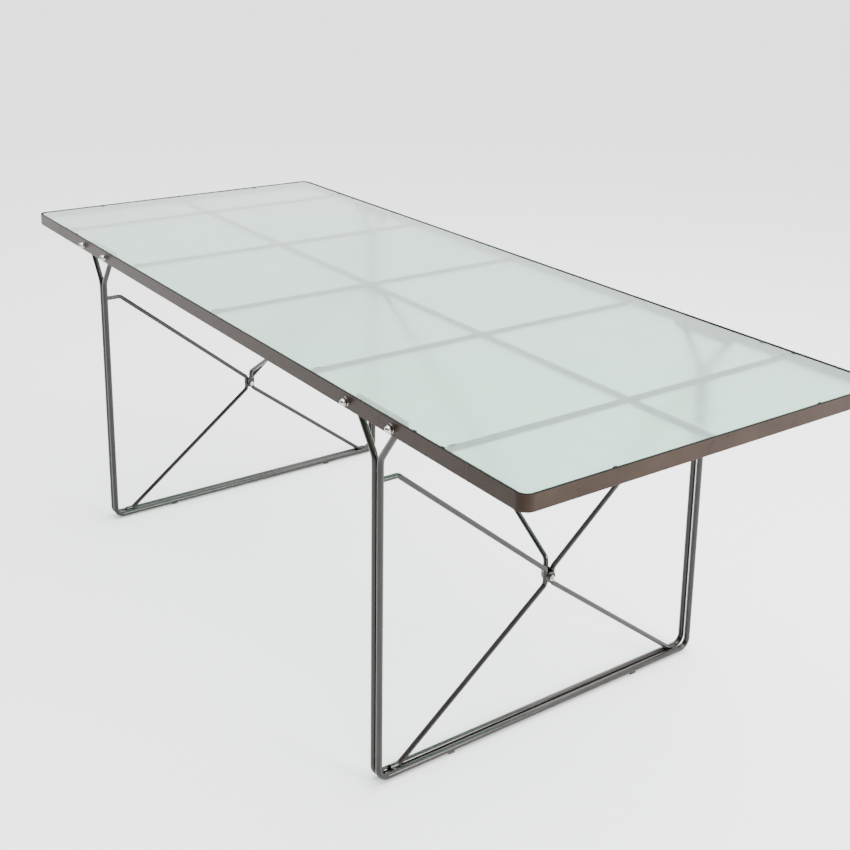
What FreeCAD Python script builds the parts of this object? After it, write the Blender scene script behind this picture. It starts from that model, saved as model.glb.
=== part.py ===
import FreeCAD, Part

import math
import os

import Sketcher
from FreeCAD import Placement, Rotation, Vector

# A glass-topped work table. A flat-bar rim carries five cross bars, a centre bar and a loose
# glass pane. Two trestles of bent steel rod stand under it, each made of two U-shaped rods,
# two crossed braces and a bolt where the braces meet. Two stays run from those bolts up to
# the middle of the top. X runs along the table, Y across it, and Z is up from the floor.

DRIVING_SIZES = [
    ("table_length", 2000, "rim, outside, along X"),
    ("table_width", 800, "rim, outside, along Y"),
    ("table_height", 710, "floor to the rim's top edge"),
    ("rim_height", 28, "depth of the flat bar"),
    ("rim_thickness", 4, "thickness of the flat bar"),
    ("rim_corner", 20, "outer corner radius of the rim"),
    ("rim_edge_round", 0.6, "softened edge of the flat bar"),
    ("glass_thickness", 5, "pane"),
    ("glass_gap", 1.5, "pane to the rim's inner face"),
    ("glass_drop", 1.5, "pane's top below the rim's top edge"),
    ("glass_bevel", 0.8, "ground edge of the pane"),
    ("pad_thickness", 1.5, "rubber pad under the pane"),
    ("pad_length", 14, "rubber pad, along its cross bar"),
    ("pad_inset", 14, "rim's inner face to the pad"),
    ("bumper_length", 8, "rubber bumper, along the rim"),
    ("bumper_rise", 1.2, "bumper's top above the rim"),
    ("bumper_clearance", 0.3, "bumper to the pane"),
    ("bumper_spread", 456, "between the two bumpers on a short side"),
    ("inner_bumper_reach", 730, "table's middle to a long side's inner bumpers"),
    ("outer_bumper_reach", 804, "table's middle to a long side's outer bumpers"),
    ("cross_bar_pitch", 400, "between cross bars"),
    ("cross_bar_width", 8, "cross bar, along X"),
    ("cross_bar_height", 8, "cross bar"),
    ("centre_bar_width", 10, "centre bar, along Y"),
    ("centre_bar_height", 8, "centre bar"),
    ("trestle_spacing", 1210, "between the trestles' middles"),
    ("rod_diameter", 12, "U rod"),
    ("rod_pitch", 16.5, "between the middles of a trestle's two U rods"),
    ("brace_diameter", 10, "brace rod and stay rod"),
    ("arm_spread", 136, "between a trestle's two studs on one side"),
    ("arm_drop", 80, "studs down to the split, where a U rod starts to lean outwards"),
    ("split_bend", 30, "bend radius at the split"),
    ("stud_bend", 9, "bend radius from arm to stud"),
    ("foot_bend", 20, "bend radius at the floor"),
    ("thread_diameter", 8, "stud thread"),
    ("thread_clearance", 0.5, "rim and washer holes over the stud thread"),
    ("thread_engagement", 8, "stud inside its nut"),
    ("collar_diameter", 16, "collar on the stud, against the rim"),
    ("collar_thickness", 5, "collar on the stud"),
    ("collar_clearance", 0.5, "collar's top to the pane"),
    ("rail_washer_diameter", 16, "washer outside the rim"),
    ("rail_washer_thickness", 1.6, "washer outside the rim"),
    ("rail_nut_flats", 13, "dome nut, across its flats"),
    ("rail_nut_hexagon", 5.5, "dome nut, height of its hexagon"),
    ("rail_nut_dome", 12, "dome nut, diameter of its dome"),
    ("rail_nut_neck", 0.5, "dome nut, straight wall under its dome"),
    ("rail_nut_depth", 9.5, "dome nut, depth of its thread"),
    ("spreader_overhang", 6, "spreader past the middle of each stud"),
    ("spreader_height", 16, "spreader bar"),
    ("spreader_thickness", 4, "spreader bar"),
    ("glide_lift", 2.5, "floor to the underside of a rod"),
    ("glide_grip", 1.5, "how far a glide rises beside its rod"),
    ("glide_width", 10, "glide, across its rod"),
    ("glide_length", 12, "glide, along its rod"),
    ("glide_spread", 452, "between the two glides of a rod"),
    ("brace_drop", 41, "split down to a brace's upper end"),
    ("brace_corner_inset", 40, "leg to a brace's upper outer bend"),
    ("brace_foot_inset", 46, "leg to a brace's lower outer bend"),
    ("brace_bend", 12, "bend radius of a brace"),
    ("brace_foot_gap", 9, "brace's lower end to the leg's foot bend"),
    ("crossing_height", 283.5, "crossing bolt above the floor"),
    ("crossing_run", 31, "upright stretch of a brace at the bolt"),
    ("bolt_diameter", 6, "crossing bolt"),
    ("bolt_clearance", 0.5, "holes and braces round the crossing bolt"),
    ("bolt_engagement", 7, "crossing bolt inside its nut"),
    ("bolt_head_flats", 10, "crossing bolt's head and nut, across the flats"),
    ("bolt_head_height", 4, "crossing bolt's head"),
    ("crossing_washer_diameter", 22, "washer at the crossing"),
    ("crossing_washer_thickness", 2, "washer at the crossing"),
    ("crossing_nut_hexagon", 4.5, "crossing nut, height of its hexagon"),
    ("crossing_nut_dome", 9, "crossing nut, diameter of its dome"),
    ("crossing_nut_neck", 1, "crossing nut, straight wall under its dome"),
    ("crossing_nut_depth", 8, "crossing nut, depth of its thread"),
    ("bevel_depth", 0.6, "turned-down corners of nuts and bolt heads"),
    ("bevel_run", 1.5, "turned-down corners, along the face"),
    ("eye_diameter", 17, "flattened end of a stay"),
    ("eye_thickness", 5, "flattened end of a stay"),
    ("eye_reach", 12.2, "from an eye's middle to its neck"),
    ("eye_neck", 6, "neck between an eye and the round rod"),
    ("stay_bend", 15, "bend radius of a stay"),
    ("stay_screw_spacing", 24, "between the two stay screws"),
    ("stay_plate_length", 46, "tapped plate under the centre bar"),
    ("stay_plate_width", 30, "tapped plate under the centre bar"),
    ("stay_plate_thickness", 4, "tapped plate under the centre bar"),
    ("stay_plate_corner", 4, "tapped plate's corner radius"),
    ("stay_screw_diameter", 6, "stay screw"),
    ("stay_screw_clearance", 0.6, "stay's hole over its screw"),
    ("stay_screw_head", 10.5, "button head's diameter"),
    ("stay_screw_head_height", 3.3, "button head"),
    ("stay_screw_head_round", 2.2, "button head's rounded edge"),
    ("stay_screw_socket", 4, "hexagon socket across its flats"),
    ("stay_screw_socket_depth", 2, "hexagon socket"),
]
CROSS_BAR_PLACES = (-2, -1, 0, 1, 2)
SIDES = (("left", -1), ("right", 1))
FACES = (("front", -1), ("back", 1))

ZERO = "0"
RIGHT_ANGLE = 90
FULL_TURN = 360
TOUCHING = 1e-4

document = FreeCAD.newDocument("glass_topped_table")
sheet = document.addObject("Spreadsheet::Sheet", "Sizes")
for row, (alias, amount, meaning) in enumerate(DRIVING_SIZES, start=1):
    sheet.set(f"A{row}", alias.replace("_", " "))
    sheet.set(f"B{row}", str(amount))
    sheet.setAlias(f"B{row}", alias)
    sheet.set(f"C{row}", meaning)
document.recompute()

# Sizes that follow from the driving ones, as formulas over the sheet's cells.
HALF_WIDTH = "(Sizes.table_width / 2)"
INNER_LENGTH = "(Sizes.table_length - 2 * Sizes.rim_thickness)"
INNER_WIDTH = "(Sizes.table_width - 2 * Sizes.rim_thickness)"
INNER_CORNER = "(Sizes.rim_corner - Sizes.rim_thickness)"
RIM_TOP = "Sizes.table_height"
RIM_BOTTOM = f"({RIM_TOP} - Sizes.rim_height)"
GLASS_TOP = f"({RIM_TOP} - Sizes.glass_drop)"
GLASS_BOTTOM = f"({GLASS_TOP} - Sizes.glass_thickness)"
BAR_TOP = f"({GLASS_BOTTOM} - Sizes.pad_thickness)"
CROSS_BAR_BOTTOM = f"({BAR_TOP} - Sizes.cross_bar_height)"
CENTRE_BAR_BOTTOM = f"({CROSS_BAR_BOTTOM} - Sizes.centre_bar_height)"
STAY_PLATE_BOTTOM = f"({CENTRE_BAR_BOTTOM} - Sizes.stay_plate_thickness)"
STUD_HEIGHT = f"({GLASS_BOTTOM} - Sizes.collar_clearance - Sizes.collar_diameter / 2)"
SPLIT_HEIGHT = f"({STUD_HEIGHT} - Sizes.arm_drop)"
STUD_OFFSET = "(Sizes.arm_spread / 2)"
STUD_HOLE = "(Sizes.thread_diameter + Sizes.thread_clearance)"
LEG_PLANE = f"({HALF_WIDTH} - Sizes.rim_thickness - Sizes.collar_thickness - Sizes.stud_bend)"
BRACE_TOP = f"({SPLIT_HEIGHT} - Sizes.brace_drop)"
ROD_OFFSET = "(Sizes.rod_pitch / 2)"
GROOVE_RISE = f"sqrt(((Sizes.brace_diameter + Sizes.rod_diameter) / 2) ^ 2 - {ROD_OFFSET} ^ 2)"
LEG_TOUCH = f"sqrt((Sizes.rod_diameter / 2) ^ 2 - ({ROD_OFFSET} - Sizes.brace_diameter / 2) ^ 2)"
FOOT_HEIGHT = "(Sizes.glide_lift + Sizes.rod_diameter / 2)"
TRESTLE_OFFSET = "(Sizes.trestle_spacing / 2)"
BRACE_OFFSET = "((Sizes.bolt_diameter + Sizes.bolt_clearance + Sizes.brace_diameter) / 2)"
BRACE_CORNER = f"({LEG_PLANE} - Sizes.brace_corner_inset)"
BRACE_FOOT_CORNER = f"({LEG_PLANE} - Sizes.brace_foot_inset)"
BRACE_END = f"({LEG_PLANE} - {LEG_TOUCH})"
BRACE_FOOT_HEIGHT = f"({FOOT_HEIGHT} + {GROOVE_RISE})"
BRACE_FOOT = f"({LEG_PLANE} - Sizes.foot_bend - Sizes.brace_foot_gap)"
BOLT_HOLE = "(Sizes.bolt_diameter + Sizes.bolt_clearance)"
CROSSING_STACK = "(Sizes.brace_diameter / 2 + Sizes.crossing_washer_thickness)"
EYE_PLANE = f"({TRESTLE_OFFSET} - {CROSSING_STACK} - Sizes.eye_thickness / 2)"
STAY_REACH = "(Sizes.eye_reach + Sizes.eye_neck + Sizes.stay_bend)"
UPPER_EYE_HEIGHT = f"({STAY_PLATE_BOTTOM} - Sizes.eye_thickness / 2)"
STAY_SCREW_OFFSET = "(Sizes.stay_screw_spacing / 2)"

nodes = {}


def number(formula):
    """Return the value of a formula over the sheet's cells."""
    return float(sheet.evalExpression(formula))


def keep(node, label):
    """Label a finished sub-part and list it for export."""
    node.Label = label
    nodes[label] = node
    return node


def new_body(label):
    """Return a body that becomes a sub-part of its own."""
    return keep(document.addObject("PartDesign::Body", label), label)


def new_master(label):
    """Return a body whose copies make up a group of identical pieces."""
    master = document.addObject("PartDesign::Body", label)
    master.Label = label
    return master


def new_sketch(body, name, role, offset=None):
    """Attach a sketch to one of the body's origin planes, moved along its normal by offset."""
    sketch = body.newObject("Sketcher::SketchObject", name)
    plane = next(feature for feature in body.Origin.OriginFeatures if feature.Role == role)
    sketch.AttachmentSupport = [(plane, "")]
    sketch.MapMode = "FlatFace"
    if offset:
        sketch.setExpression("AttachmentOffset.Base.z", offset)
    return sketch


def dimension(sketch, formula, kind, *references):
    """Add a dimension that follows a formula over the sheet's cells."""
    index = sketch.addConstraint(Sketcher.Constraint(kind, *references, number(formula)))
    sketch.setExpression(f"Constraints[{index}]", formula)


def place_point(sketch, geometry, end, across, along):
    """Hold a point of a sketch at two distances from the sketch's origin."""
    dimension(sketch, across, "DistanceX", -1, 1, geometry, end)
    dimension(sketch, along, "DistanceY", -1, 1, geometry, end)


def draw_circle(sketch, across, along, diameter):
    """Draw a circle with its centre and diameter held by formulas."""
    centre = Vector(number(across), number(along), 0)
    circle = sketch.addGeometry(Part.Circle(centre, Vector(0, 0, 1), number(diameter) / 2))
    place_point(sketch, circle, 3, across, along)
    dimension(sketch, diameter, "Diameter", circle)
    return circle


def draw_rectangle(sketch, width, height):
    """Draw a rectangle about the sketch's origin."""
    right, top = number(width) / 2, number(height) / 2
    corners = [Vector(-right, -top), Vector(right, -top), Vector(right, top), Vector(-right, top)]
    ends = corners[1:] + corners[:1]
    sides = [sketch.addGeometry(Part.LineSegment(start, end)) for start, end in zip(corners, ends)]
    for side, following in zip(sides, sides[1:] + sides[:1]):
        sketch.addConstraint(Sketcher.Constraint("Coincident", side, 2, following, 1))
    for side, direction in zip(sides, ("Horizontal", "Vertical") * 2):
        sketch.addConstraint(Sketcher.Constraint(direction, side))
    sketch.addConstraint(Sketcher.Constraint("Symmetric", sides[0], 1, sides[2], 1, -1, 1))
    dimension(sketch, width, "DistanceX", sides[0], 1, sides[0], 2)
    dimension(sketch, height, "DistanceY", sides[1], 1, sides[1], 2)


def draw_rounded_rectangle(sketch, width, height, corner):
    """Draw a rectangle with rounded corners about the sketch's origin."""
    right, top, radius = number(width) / 2, number(height) / 2, number(corner)
    inner_right, inner_top = right - radius, top - radius
    runs = [
        (Vector(-inner_right, -top), Vector(inner_right, -top), Vector(inner_right, -inner_top)),
        (Vector(right, -inner_top), Vector(right, inner_top), Vector(inner_right, inner_top)),
        (Vector(inner_right, top), Vector(-inner_right, top), Vector(-inner_right, inner_top)),
        (Vector(-right, inner_top), Vector(-right, -inner_top), Vector(-inner_right, -inner_top)),
    ]
    sides, arcs = [], []
    for turn, (start, end, centre) in enumerate(runs, start=-1):
        sides.append(sketch.addGeometry(Part.LineSegment(start, end)))
        circle = Part.Circle(centre, Vector(0, 0, 1), radius)
        quarter = Part.ArcOfCircle(circle, turn * math.pi / 2, (turn + 1) * math.pi / 2)
        arcs.append(sketch.addGeometry(quarter))
    for side, arc, following in zip(sides, arcs, sides[1:] + sides[:1]):
        sketch.addConstraint(Sketcher.Constraint("Tangent", side, 2, arc, 1))
        sketch.addConstraint(Sketcher.Constraint("Tangent", arc, 2, following, 1))
    for side, direction in zip(sides, ("Horizontal", "Vertical") * 2):
        sketch.addConstraint(Sketcher.Constraint(direction, side))
    for arc in arcs[1:]:
        sketch.addConstraint(Sketcher.Constraint("Equal", arcs[0], arc))
    bottom_side, right_side, top_side, left_side = sides
    dimension(sketch, corner, "Radius", arcs[0])
    dimension(sketch, f"{width} / 2", "DistanceX", -1, 1, right_side, 1)
    dimension(sketch, width, "DistanceX", left_side, 1, right_side, 1)
    dimension(sketch, f"{height} / 2", "DistanceY", -1, 1, top_side, 1)
    dimension(sketch, height, "DistanceY", bottom_side, 1, top_side, 1)


def draw_hexagon(sketch, flats):
    """Draw a hexagon about the sketch's origin, with two corners on the horizontal axis."""
    radius = number(flats) / 2 / math.cos(math.pi / 6)
    turns = [math.pi / 3 * corner for corner in range(6)]
    corners = [Vector(radius * math.cos(turn), radius * math.sin(turn)) for turn in turns]
    ends = corners[1:] + corners[:1]
    sides = [sketch.addGeometry(Part.LineSegment(start, end)) for start, end in zip(corners, ends)]
    circle = Part.Circle(Vector(), Vector(0, 0, 1), radius)
    circle = sketch.addGeometry(circle, True)
    sketch.addConstraint(Sketcher.Constraint("Coincident", circle, 3, -1, 1))
    for side, following in zip(sides, sides[1:] + sides[:1]):
        sketch.addConstraint(Sketcher.Constraint("Coincident", side, 2, following, 1))
        sketch.addConstraint(Sketcher.Constraint("PointOnObject", side, 1, circle))
    for side in sides[1:]:
        sketch.addConstraint(Sketcher.Constraint("Equal", sides[0], side))
    sketch.addConstraint(Sketcher.Constraint("PointOnObject", sides[0], 1, -1))
    dimension(sketch, flats, "Distance", sides[1], 1, sides[4])


def draw_outline(sketch, points):
    """Draw a closed outline of straight sides through points held by formulas."""
    corners = [Vector(number(across), number(along), 0) for across, along in points]
    ends = corners[1:] + corners[:1]
    sides = [sketch.addGeometry(Part.LineSegment(start, end)) for start, end in zip(corners, ends)]
    for side, following in zip(sides, sides[1:] + sides[:1]):
        sketch.addConstraint(Sketcher.Constraint("Coincident", side, 2, following, 1))
    for side, (across, along) in zip(sides, points):
        place_point(sketch, side, 1, across, along)


def draw_ellipse(sketch, centre, long_axis, short_axis, upright):
    """Draw an ellipse whose long axis lies along the sketch's horizontal or vertical."""
    middle = Vector(number(centre[0]), number(centre[1]), 0)
    long_half, short_half = number(long_axis) / 2, number(short_axis) / 2
    long_end, short_end = Vector(long_half, 0, 0), Vector(0, short_half, 0)
    if upright:
        long_end, short_end = Vector(0, long_half, 0), Vector(-short_half, 0, 0)
    ellipse = sketch.addGeometry(Part.Ellipse(middle + long_end, middle + short_end, middle))
    sketch.exposeInternalGeometry(ellipse)
    long_line, short_line = ellipse + 1, ellipse + 2
    place_point(sketch, ellipse, 3, *centre)
    sketch.addConstraint(Sketcher.Constraint("Vertical" if upright else "Horizontal", long_line))
    dimension(sketch, long_axis, "Distance", long_line)
    dimension(sketch, short_axis, "Distance", short_line)


def draw_quarter_disc(sketch, base, radius):
    """Draw the quarter disc that turns about the vertical axis into a dome."""
    size, floor = number(radius), Vector(0, number(base), 0)
    rim, crown = floor + Vector(size, 0, 0), floor + Vector(0, size, 0)
    bottom = sketch.addGeometry(Part.LineSegment(floor, rim))
    circle = Part.Circle(floor, Vector(0, 0, 1), size)
    arc = sketch.addGeometry(Part.ArcOfCircle(circle, 0, math.pi / 2))
    axis = sketch.addGeometry(Part.LineSegment(crown, floor))
    for first, first_end, second, second_end in (
            (bottom, 2, arc, 1), (arc, 2, axis, 1), (axis, 2, bottom, 1), (arc, 3, bottom, 1)):
        sketch.addConstraint(Sketcher.Constraint("Coincident", first, first_end, second, second_end))
    sketch.addConstraint(Sketcher.Constraint("Horizontal", bottom))
    sketch.addConstraint(Sketcher.Constraint("Vertical", axis))
    place_point(sketch, bottom, 1, ZERO, base)
    dimension(sketch, radius, "Radius", arc)


def bend_between(before, corner, after, radius):
    """Return where a tangent bend starts, its middle and where it ends."""
    arriving = (corner - before).normalize()
    leaving = (after - corner).normalize()
    half_turn = arriving.getAngle(leaving) / 2
    setback = radius * math.tan(half_turn)
    inwards = (leaving - arriving).normalize()
    middle = corner + inwards * (radius / math.cos(half_turn) - radius)
    return corner - arriving * setback, middle, corner + leaving * setback


def draw_bent_line(sketch, points, radius):
    """Draw straight runs joined by tangent bends, with every corner held by formulas."""
    corners = [Vector(number(across), number(along), 0) for across, along in points]
    bends = [bend_between(*corners[place:place + 3], number(radius)) for place in range(len(corners) - 2)]
    starts = [corners[0]] + [leaves for _, _, leaves in bends]
    ends = [arrives for arrives, _, _ in bends] + [corners[-1]]
    runs = [sketch.addGeometry(Part.LineSegment(start, end)) for start, end in zip(starts, ends)]
    for place, (arrives, middle, leaves) in enumerate(bends):
        turns_left = (middle - arrives).cross(leaves - middle).z > 0
        first, last = (arrives, leaves) if turns_left else (leaves, arrives)
        circle = Part.Arc(first, middle, last).toShape().Curve
        circle = Part.Circle(circle.Center, Vector(0, 0, 1), circle.Radius)
        arc = Part.ArcOfCircle(circle, circle.parameter(first), circle.parameter(last))
        arc = sketch.addGeometry(arc)
        arc_start, arc_end = (1, 2) if turns_left else (2, 1)
        sketch.addConstraint(Sketcher.Constraint("Tangent", runs[place], 2, arc, arc_start))
        sketch.addConstraint(Sketcher.Constraint("Tangent", arc, arc_end, runs[place + 1], 1))
        dimension(sketch, radius, "Radius", arc)
        corner = sketch.addGeometry(Part.Point(corners[place + 1]), True)
        sketch.addConstraint(Sketcher.Constraint("PointOnObject", corner, 1, runs[place]))
        sketch.addConstraint(Sketcher.Constraint("PointOnObject", corner, 1, runs[place + 1]))
        place_point(sketch, corner, 1, *points[place + 1])
    place_point(sketch, runs[0], 1, *points[0])
    place_point(sketch, runs[-1], 2, *points[-1])


def pad(body, sketch, length, midplane=False, downwards=False):
    """Pad a sketch by a length that follows a formula."""
    feature = body.newObject("PartDesign::Pad", f"{sketch.Name}_pad")
    feature.Profile = sketch
    feature.SideType = "Symmetric" if midplane else "One side"
    feature.Reversed = downwards
    feature.setExpression("Length", length)
    sketch.Visibility = False
    document.recompute()
    return feature


def pocket(body, sketch, length, midplane=False, upwards=False):
    """Cut a sketch into the body and check that it took material away."""
    volume_before = body.Shape.Volume
    feature = body.newObject("PartDesign::Pocket", f"{sketch.Name}_pocket")
    feature.Profile = sketch
    feature.SideType = "Symmetric" if midplane else "One side"
    feature.Reversed = upwards
    feature.setExpression("Length", length)
    document.recompute()
    if body.Shape.Volume >= volume_before:
        raise ValueError(f"{feature.Label} cuts nothing")
    return feature


def pipe(body, profile, spine):
    """Sweep a section along a bent line."""
    feature = body.newObject("PartDesign::AdditivePipe", f"{spine.Name}_pipe")
    feature.Profile = profile
    feature.Spine = (spine, [])
    document.recompute()
    return feature


def soften(body, kind, formula, chosen):
    """Fillet or chamfer the edges of the body's last feature that a test picks out."""
    base = body.Tip
    edges = enumerate(base.Shape.Edges, start=1)
    names = [f"Edge{place}" for place, edge in edges if chosen(edge)]
    feature = body.newObject(f"PartDesign::{kind}", f"{body.Name}_{kind.lower()}_{len(names)}")
    feature.Base = (base, names)
    feature.setExpression("Radius" if kind == "Fillet" else "Size", formula)
    document.recompute()
    return feature


def is_level_at(*heights):
    """Return a test for edges that lie flat at one of the heights."""
    levels = [number(height) for height in heights]

    def lies_level(edge):
        box = edge.BoundBox
        return box.ZLength < TOUCHING and any(abs(box.ZMin - level) < TOUCHING for level in levels)

    return lies_level


def block(label, centre, lengths):
    """Make a rectangular bar from its centre and its three lengths, all of them formulas."""
    bar = document.addObject("Part::Box", label)
    for side, length in zip(("Length", "Width", "Height"), lengths):
        bar.setExpression(side, length)
    for axis, middle, length in zip("xyz", centre, lengths):
        bar.setExpression(f"Placement.Base.{axis}", f"{middle} - {length} / 2")
    return keep(bar, label)


def group(label, master, places):
    """Make one node of copies of a master, each with a turn and a place of formulas."""
    copies = []
    for count, (turn, centre) in enumerate(places, start=1):
        copy = document.addObject("App::Link", f"{label}_{count}")
        copy.LinkedObject = master
        copy.Placement = Placement(Vector(), turn)
        for axis, middle in zip("xyz", centre):
            copy.setExpression(f"Placement.Base.{axis}", middle)
        copies.append(copy)
    compound = document.addObject("Part::Compound", label)
    compound.Links = copies
    return keep(compound, label)


def turned_to(direction):
    """Return the turn that lays a piece made along +Z along another direction."""
    return Rotation(Vector(0, 0, 1), direction)


def make_rim():
    """Bend the flat bar into a ring and drill it for the trestles' studs."""
    body = new_body("top_rim")
    outside = new_sketch(body, "rim_outside", "XY_Plane", RIM_BOTTOM)
    draw_rounded_rectangle(outside, "Sizes.table_length", "Sizes.table_width", "Sizes.rim_corner")
    pad(body, outside, "Sizes.rim_height")
    inside = new_sketch(body, "rim_inside", "XY_Plane", RIM_BOTTOM)
    draw_rounded_rectangle(inside, INNER_LENGTH, INNER_WIDTH, INNER_CORNER)
    pocket(body, inside, "Sizes.rim_height", upwards=True)
    soften(body, "Fillet", "Sizes.rim_edge_round", is_level_at(RIM_TOP, RIM_BOTTOM))
    holes = new_sketch(body, "stud_holes", "XZ_Plane")
    for trestle in (-1, 1):
        for stud in (-1, 1):
            across = f"{trestle} * {TRESTLE_OFFSET} + {stud} * {STUD_OFFSET}"
            draw_circle(holes, across, STUD_HEIGHT, STUD_HOLE)
    pocket(body, holes, "Sizes.table_width", midplane=True)


def make_bars():
    """Lay the cross bars and the centre bar between the rails."""
    cross_height = f"({BAR_TOP} - Sizes.cross_bar_height / 2)"
    for count, place in enumerate(CROSS_BAR_PLACES, start=1):
        centre = (f"{place} * Sizes.cross_bar_pitch", ZERO, cross_height)
        block(f"cross_bar_{count}", centre, ("Sizes.cross_bar_width", INNER_WIDTH, "Sizes.cross_bar_height"))
    centre = (ZERO, ZERO, f"({CROSS_BAR_BOTTOM} - Sizes.centre_bar_height / 2)")
    block("centre_bar", centre, (INNER_LENGTH, "Sizes.centre_bar_width", "Sizes.centre_bar_height"))


def make_pane():
    """Cut the loose glass pane with ground edges."""
    body = new_body("glass_pane")
    outline = new_sketch(body, "pane_outline", "XY_Plane", GLASS_BOTTOM)
    length = f"({INNER_LENGTH} - 2 * Sizes.glass_gap)"
    width = f"({INNER_WIDTH} - 2 * Sizes.glass_gap)"
    draw_rounded_rectangle(outline, length, width, f"({INNER_CORNER} - Sizes.glass_gap)")
    pad(body, outline, "Sizes.glass_thickness")
    soften(body, "Chamfer", "Sizes.glass_bevel", is_level_at(GLASS_TOP, GLASS_BOTTOM))


def make_rubber():
    """Set the pads under the pane and the bumpers round its edge."""
    pad_master = new_master("pad_master")
    pad_outline = new_sketch(pad_master, "pad_outline", "XY_Plane")
    draw_rectangle(pad_outline, "Sizes.cross_bar_width", "Sizes.pad_length")
    pad(pad_master, pad_outline, "Sizes.pad_thickness")
    pad_reach = f"({INNER_WIDTH} / 2 - Sizes.pad_inset - Sizes.pad_length / 2)"
    group("glass_pads", pad_master, [
        (Rotation(), (f"{place} * Sizes.cross_bar_pitch", f"{face} * {pad_reach}", BAR_TOP))
        for place in CROSS_BAR_PLACES for _, face in FACES])

    thickness = "(Sizes.glass_gap - Sizes.bumper_clearance)"
    bumper_master = new_master("bumper_master")
    bumper_outline = new_sketch(bumper_master, "bumper_outline", "XY_Plane")
    draw_rectangle(bumper_outline, "Sizes.bumper_length", thickness)
    pad(bumper_master, bumper_outline, f"{RIM_TOP} + Sizes.bumper_rise - {GLASS_BOTTOM}")
    quarter_turn = Rotation(Vector(0, 0, 1), RIGHT_ANGLE)
    end_reach = f"({INNER_LENGTH} - {thickness}) / 2"
    rail_reach = f"({INNER_WIDTH} - {thickness}) / 2"
    places = []
    for _, side in SIDES:
        for _, face in FACES:
            end_place = (f"{side} * {end_reach}", f"{face} * Sizes.bumper_spread / 2", GLASS_BOTTOM)
            places.append((quarter_turn, end_place))
            for reach in ("Sizes.inner_bumper_reach", "Sizes.outer_bumper_reach"):
                places.append((Rotation(), (f"{side} * {reach}", f"{face} * {rail_reach}", GLASS_BOTTOM)))
    group("edge_bumpers", bumper_master, places)


def make_ring(label, outside, bore, thickness):
    """Make a master washer or collar that rises along Z from its own origin."""
    body = new_master(label)
    outline = new_sketch(body, f"{label}_outline", "XY_Plane")
    draw_circle(outline, ZERO, ZERO, outside)
    draw_circle(outline, ZERO, ZERO, bore)
    pad(body, outline, thickness)
    return body


def revolve(body, kind, profile):
    """Turn a profile once about its sketch's vertical axis."""
    feature = body.newObject(f"PartDesign::{kind}", f"{profile.Name}_{kind.lower()}")
    feature.Profile = profile
    feature.ReferenceAxis = (profile, ["V_Axis"])
    feature.Angle = FULL_TURN
    document.recompute()
    return feature


def bevel_hexagon(body, flats, level, away):
    """Turn down the corners of a hexagon's face; away is 1 or -1 along Z, out of the face."""
    profile = new_sketch(body, f"{body.Name}_bevel", "XZ_Plane")
    corner = f"({flats} / 2 / cos(30))"
    inside = f"({corner} - Sizes.bevel_run)"
    outside = f"({corner} + Sizes.bevel_run)"
    lowered = f"({level} - {away} * 2 * Sizes.bevel_depth)"
    beyond = f"({level} + {away} * Sizes.bevel_depth)"
    draw_outline(profile, [(inside, level), (outside, lowered), (outside, beyond), (inside, beyond)])
    volume_before = body.Shape.Volume
    revolve(body, "Groove", profile)
    if body.Shape.Volume >= volume_before:
        raise ValueError(f"{body.Name} keeps its sharp corners")


def make_dome_nut(label, flats, hexagon, dome, neck, depth, thread):
    """Build a dome nut that rises along Z, with its blind thread open at its own origin."""
    body = new_master(label)
    outline = new_sketch(body, f"{label}_hexagon", "XY_Plane")
    draw_hexagon(outline, flats)
    pad(body, outline, hexagon)
    bevel_hexagon(body, flats, hexagon, 1)
    wall = new_sketch(body, f"{label}_neck", "XY_Plane")
    draw_circle(wall, ZERO, ZERO, dome)
    pad(body, wall, f"{hexagon} + {neck}")
    profile = new_sketch(body, f"{label}_dome", "XZ_Plane")
    draw_quarter_disc(profile, f"({hexagon} + {neck})", f"({dome} / 2)")
    revolve(body, "Revolution", profile)
    bore = new_sketch(body, f"{label}_thread", "XY_Plane")
    draw_circle(bore, ZERO, ZERO, thread)
    pocket(body, bore, depth, upwards=True)
    return body


def make_bent_rod(corners, bends, diameter):
    """Sweep a round bar along straight runs in space, joined by tangent bends."""
    edges = []
    start = corners[0]
    for place, radius in enumerate(bends):
        arrives, middle, leaves = bend_between(*corners[place:place + 3], radius)
        edges += [Part.LineSegment(start, arrives).toShape(), Part.Arc(arrives, middle, leaves).toShape()]
        start = leaves
    edges.append(Part.LineSegment(start, corners[-1]).toShape())
    section = Part.Wire([Part.makeCircle(diameter / 2, corners[0], corners[1] - corners[0])])
    return Part.Wire(edges).makePipeShell([section], True, False)


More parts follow.
